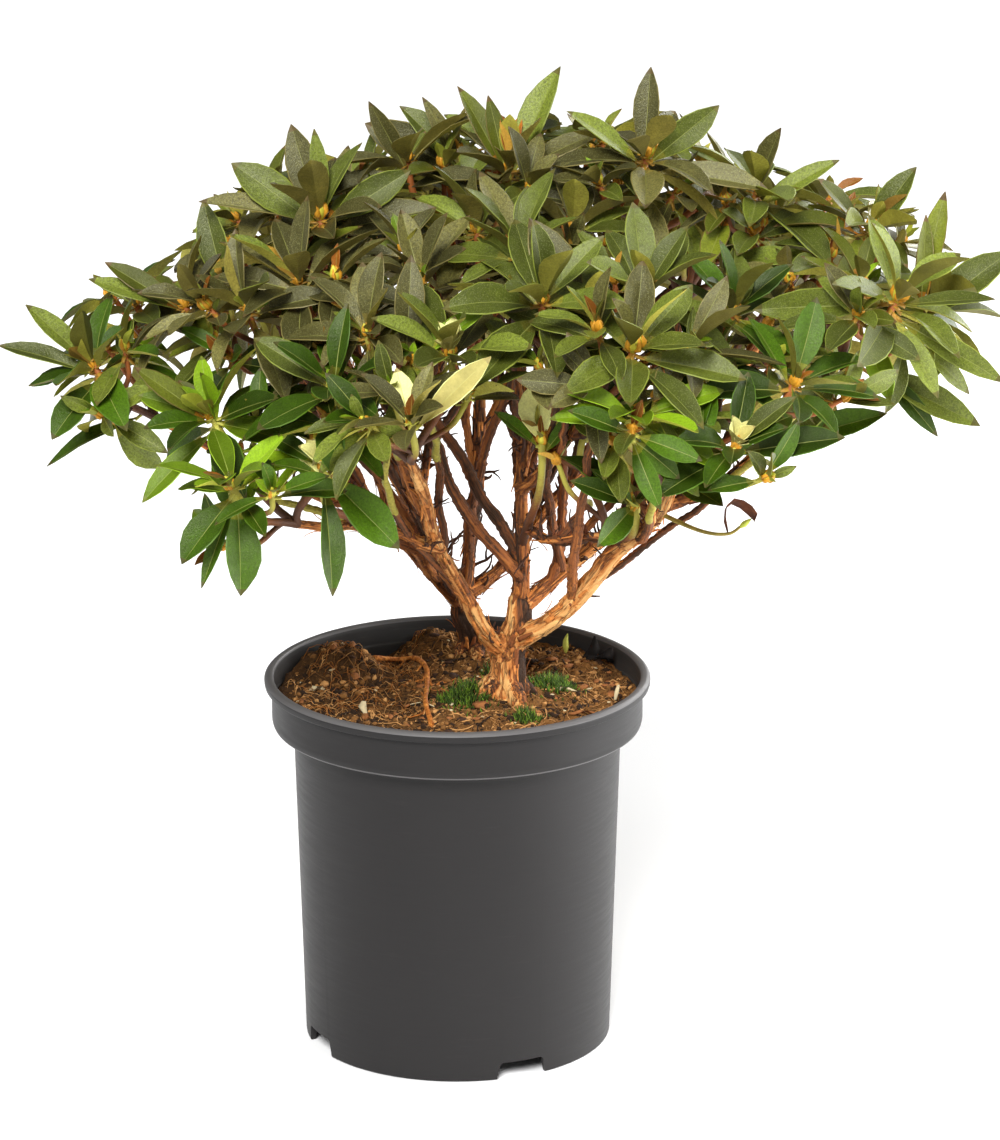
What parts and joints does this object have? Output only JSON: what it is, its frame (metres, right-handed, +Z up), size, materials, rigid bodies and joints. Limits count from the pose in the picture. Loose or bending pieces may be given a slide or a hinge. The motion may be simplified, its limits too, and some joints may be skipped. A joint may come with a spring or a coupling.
{
  "type": "potted dwarf rhododendron",
  "caption": "Dwarf evergreen shrub in a round grey nursery pot of peat: a leaning trunk and a rear stem fork into tan boughs that carry whorls of narrow leathery leaves.",
  "frame": {"origin": "centre of the pot's flat underside", "axes": "+Z up along the pot's axis, -Y towards the side that the picture shows, +X to the right of it"},
  "size_m": [0.5675, 0.4929, 0.5768],
  "materials": {
    "pot_plastic": "satin",
    "peat": "rough",
    "bark": "rough",
    "foliage": "satin"
  },
  "bodies": {
    "root": {"back_centre_bough": "bark", "back_left_bough": "bark", "back_left_leaves": "foliage", "back_low_bough": "bark", "back_low_leaves": "foliage", "back_low_left_bough": "bark", "back_low_left_leaves": "foliage", "back_low_right_bough": "bark", "back_low_right_leaves": "foliage", "back_mid_bough": "bark", "back_mid_leaves": "foliage", "back_right_bough": "bark", "back_right_leaves": "foliage", "back_stem": "bark", "centre_bough": "bark", "centre_leaves": "foliage", "centre_left_bough": "bark", "centre_left_leaves": "foliage", "far_left_bough": "bark", "far_left_leaves": "foliage", "far_right_bough": "bark", "far_right_leaves": "foliage", "front_centre_bough": "bark", "front_centre_leaves": "foliage", "front_left_leaves": "foliage", "front_right_bough": "bark", "front_right_leaves": "foliage", "inner_low_bough": "bark", "inner_low_leaves": "foliage", "left_back_bough": "bark", "left_bough": "bark", "left_low_bough": "bark", "left_low_leaves": "foliage", "left_upper_leaves": "foliage", "pot": "pot_plastic", "right_high_bough": "bark", "right_low_bough": "bark", "right_mid_leaves": "foliage", "right_upper_leaves": "foliage", "soil": "peat", "top_back_bough": "bark", "top_back_leaves": "foliage", "top_centre_leaves": "foliage", "top_left_bough": "bark", "top_left_leaves": "foliage", "top_right_bough": "bark", "top_right_leaves": "foliage", "trunk": "bark"}
  },
  "joints": []
}
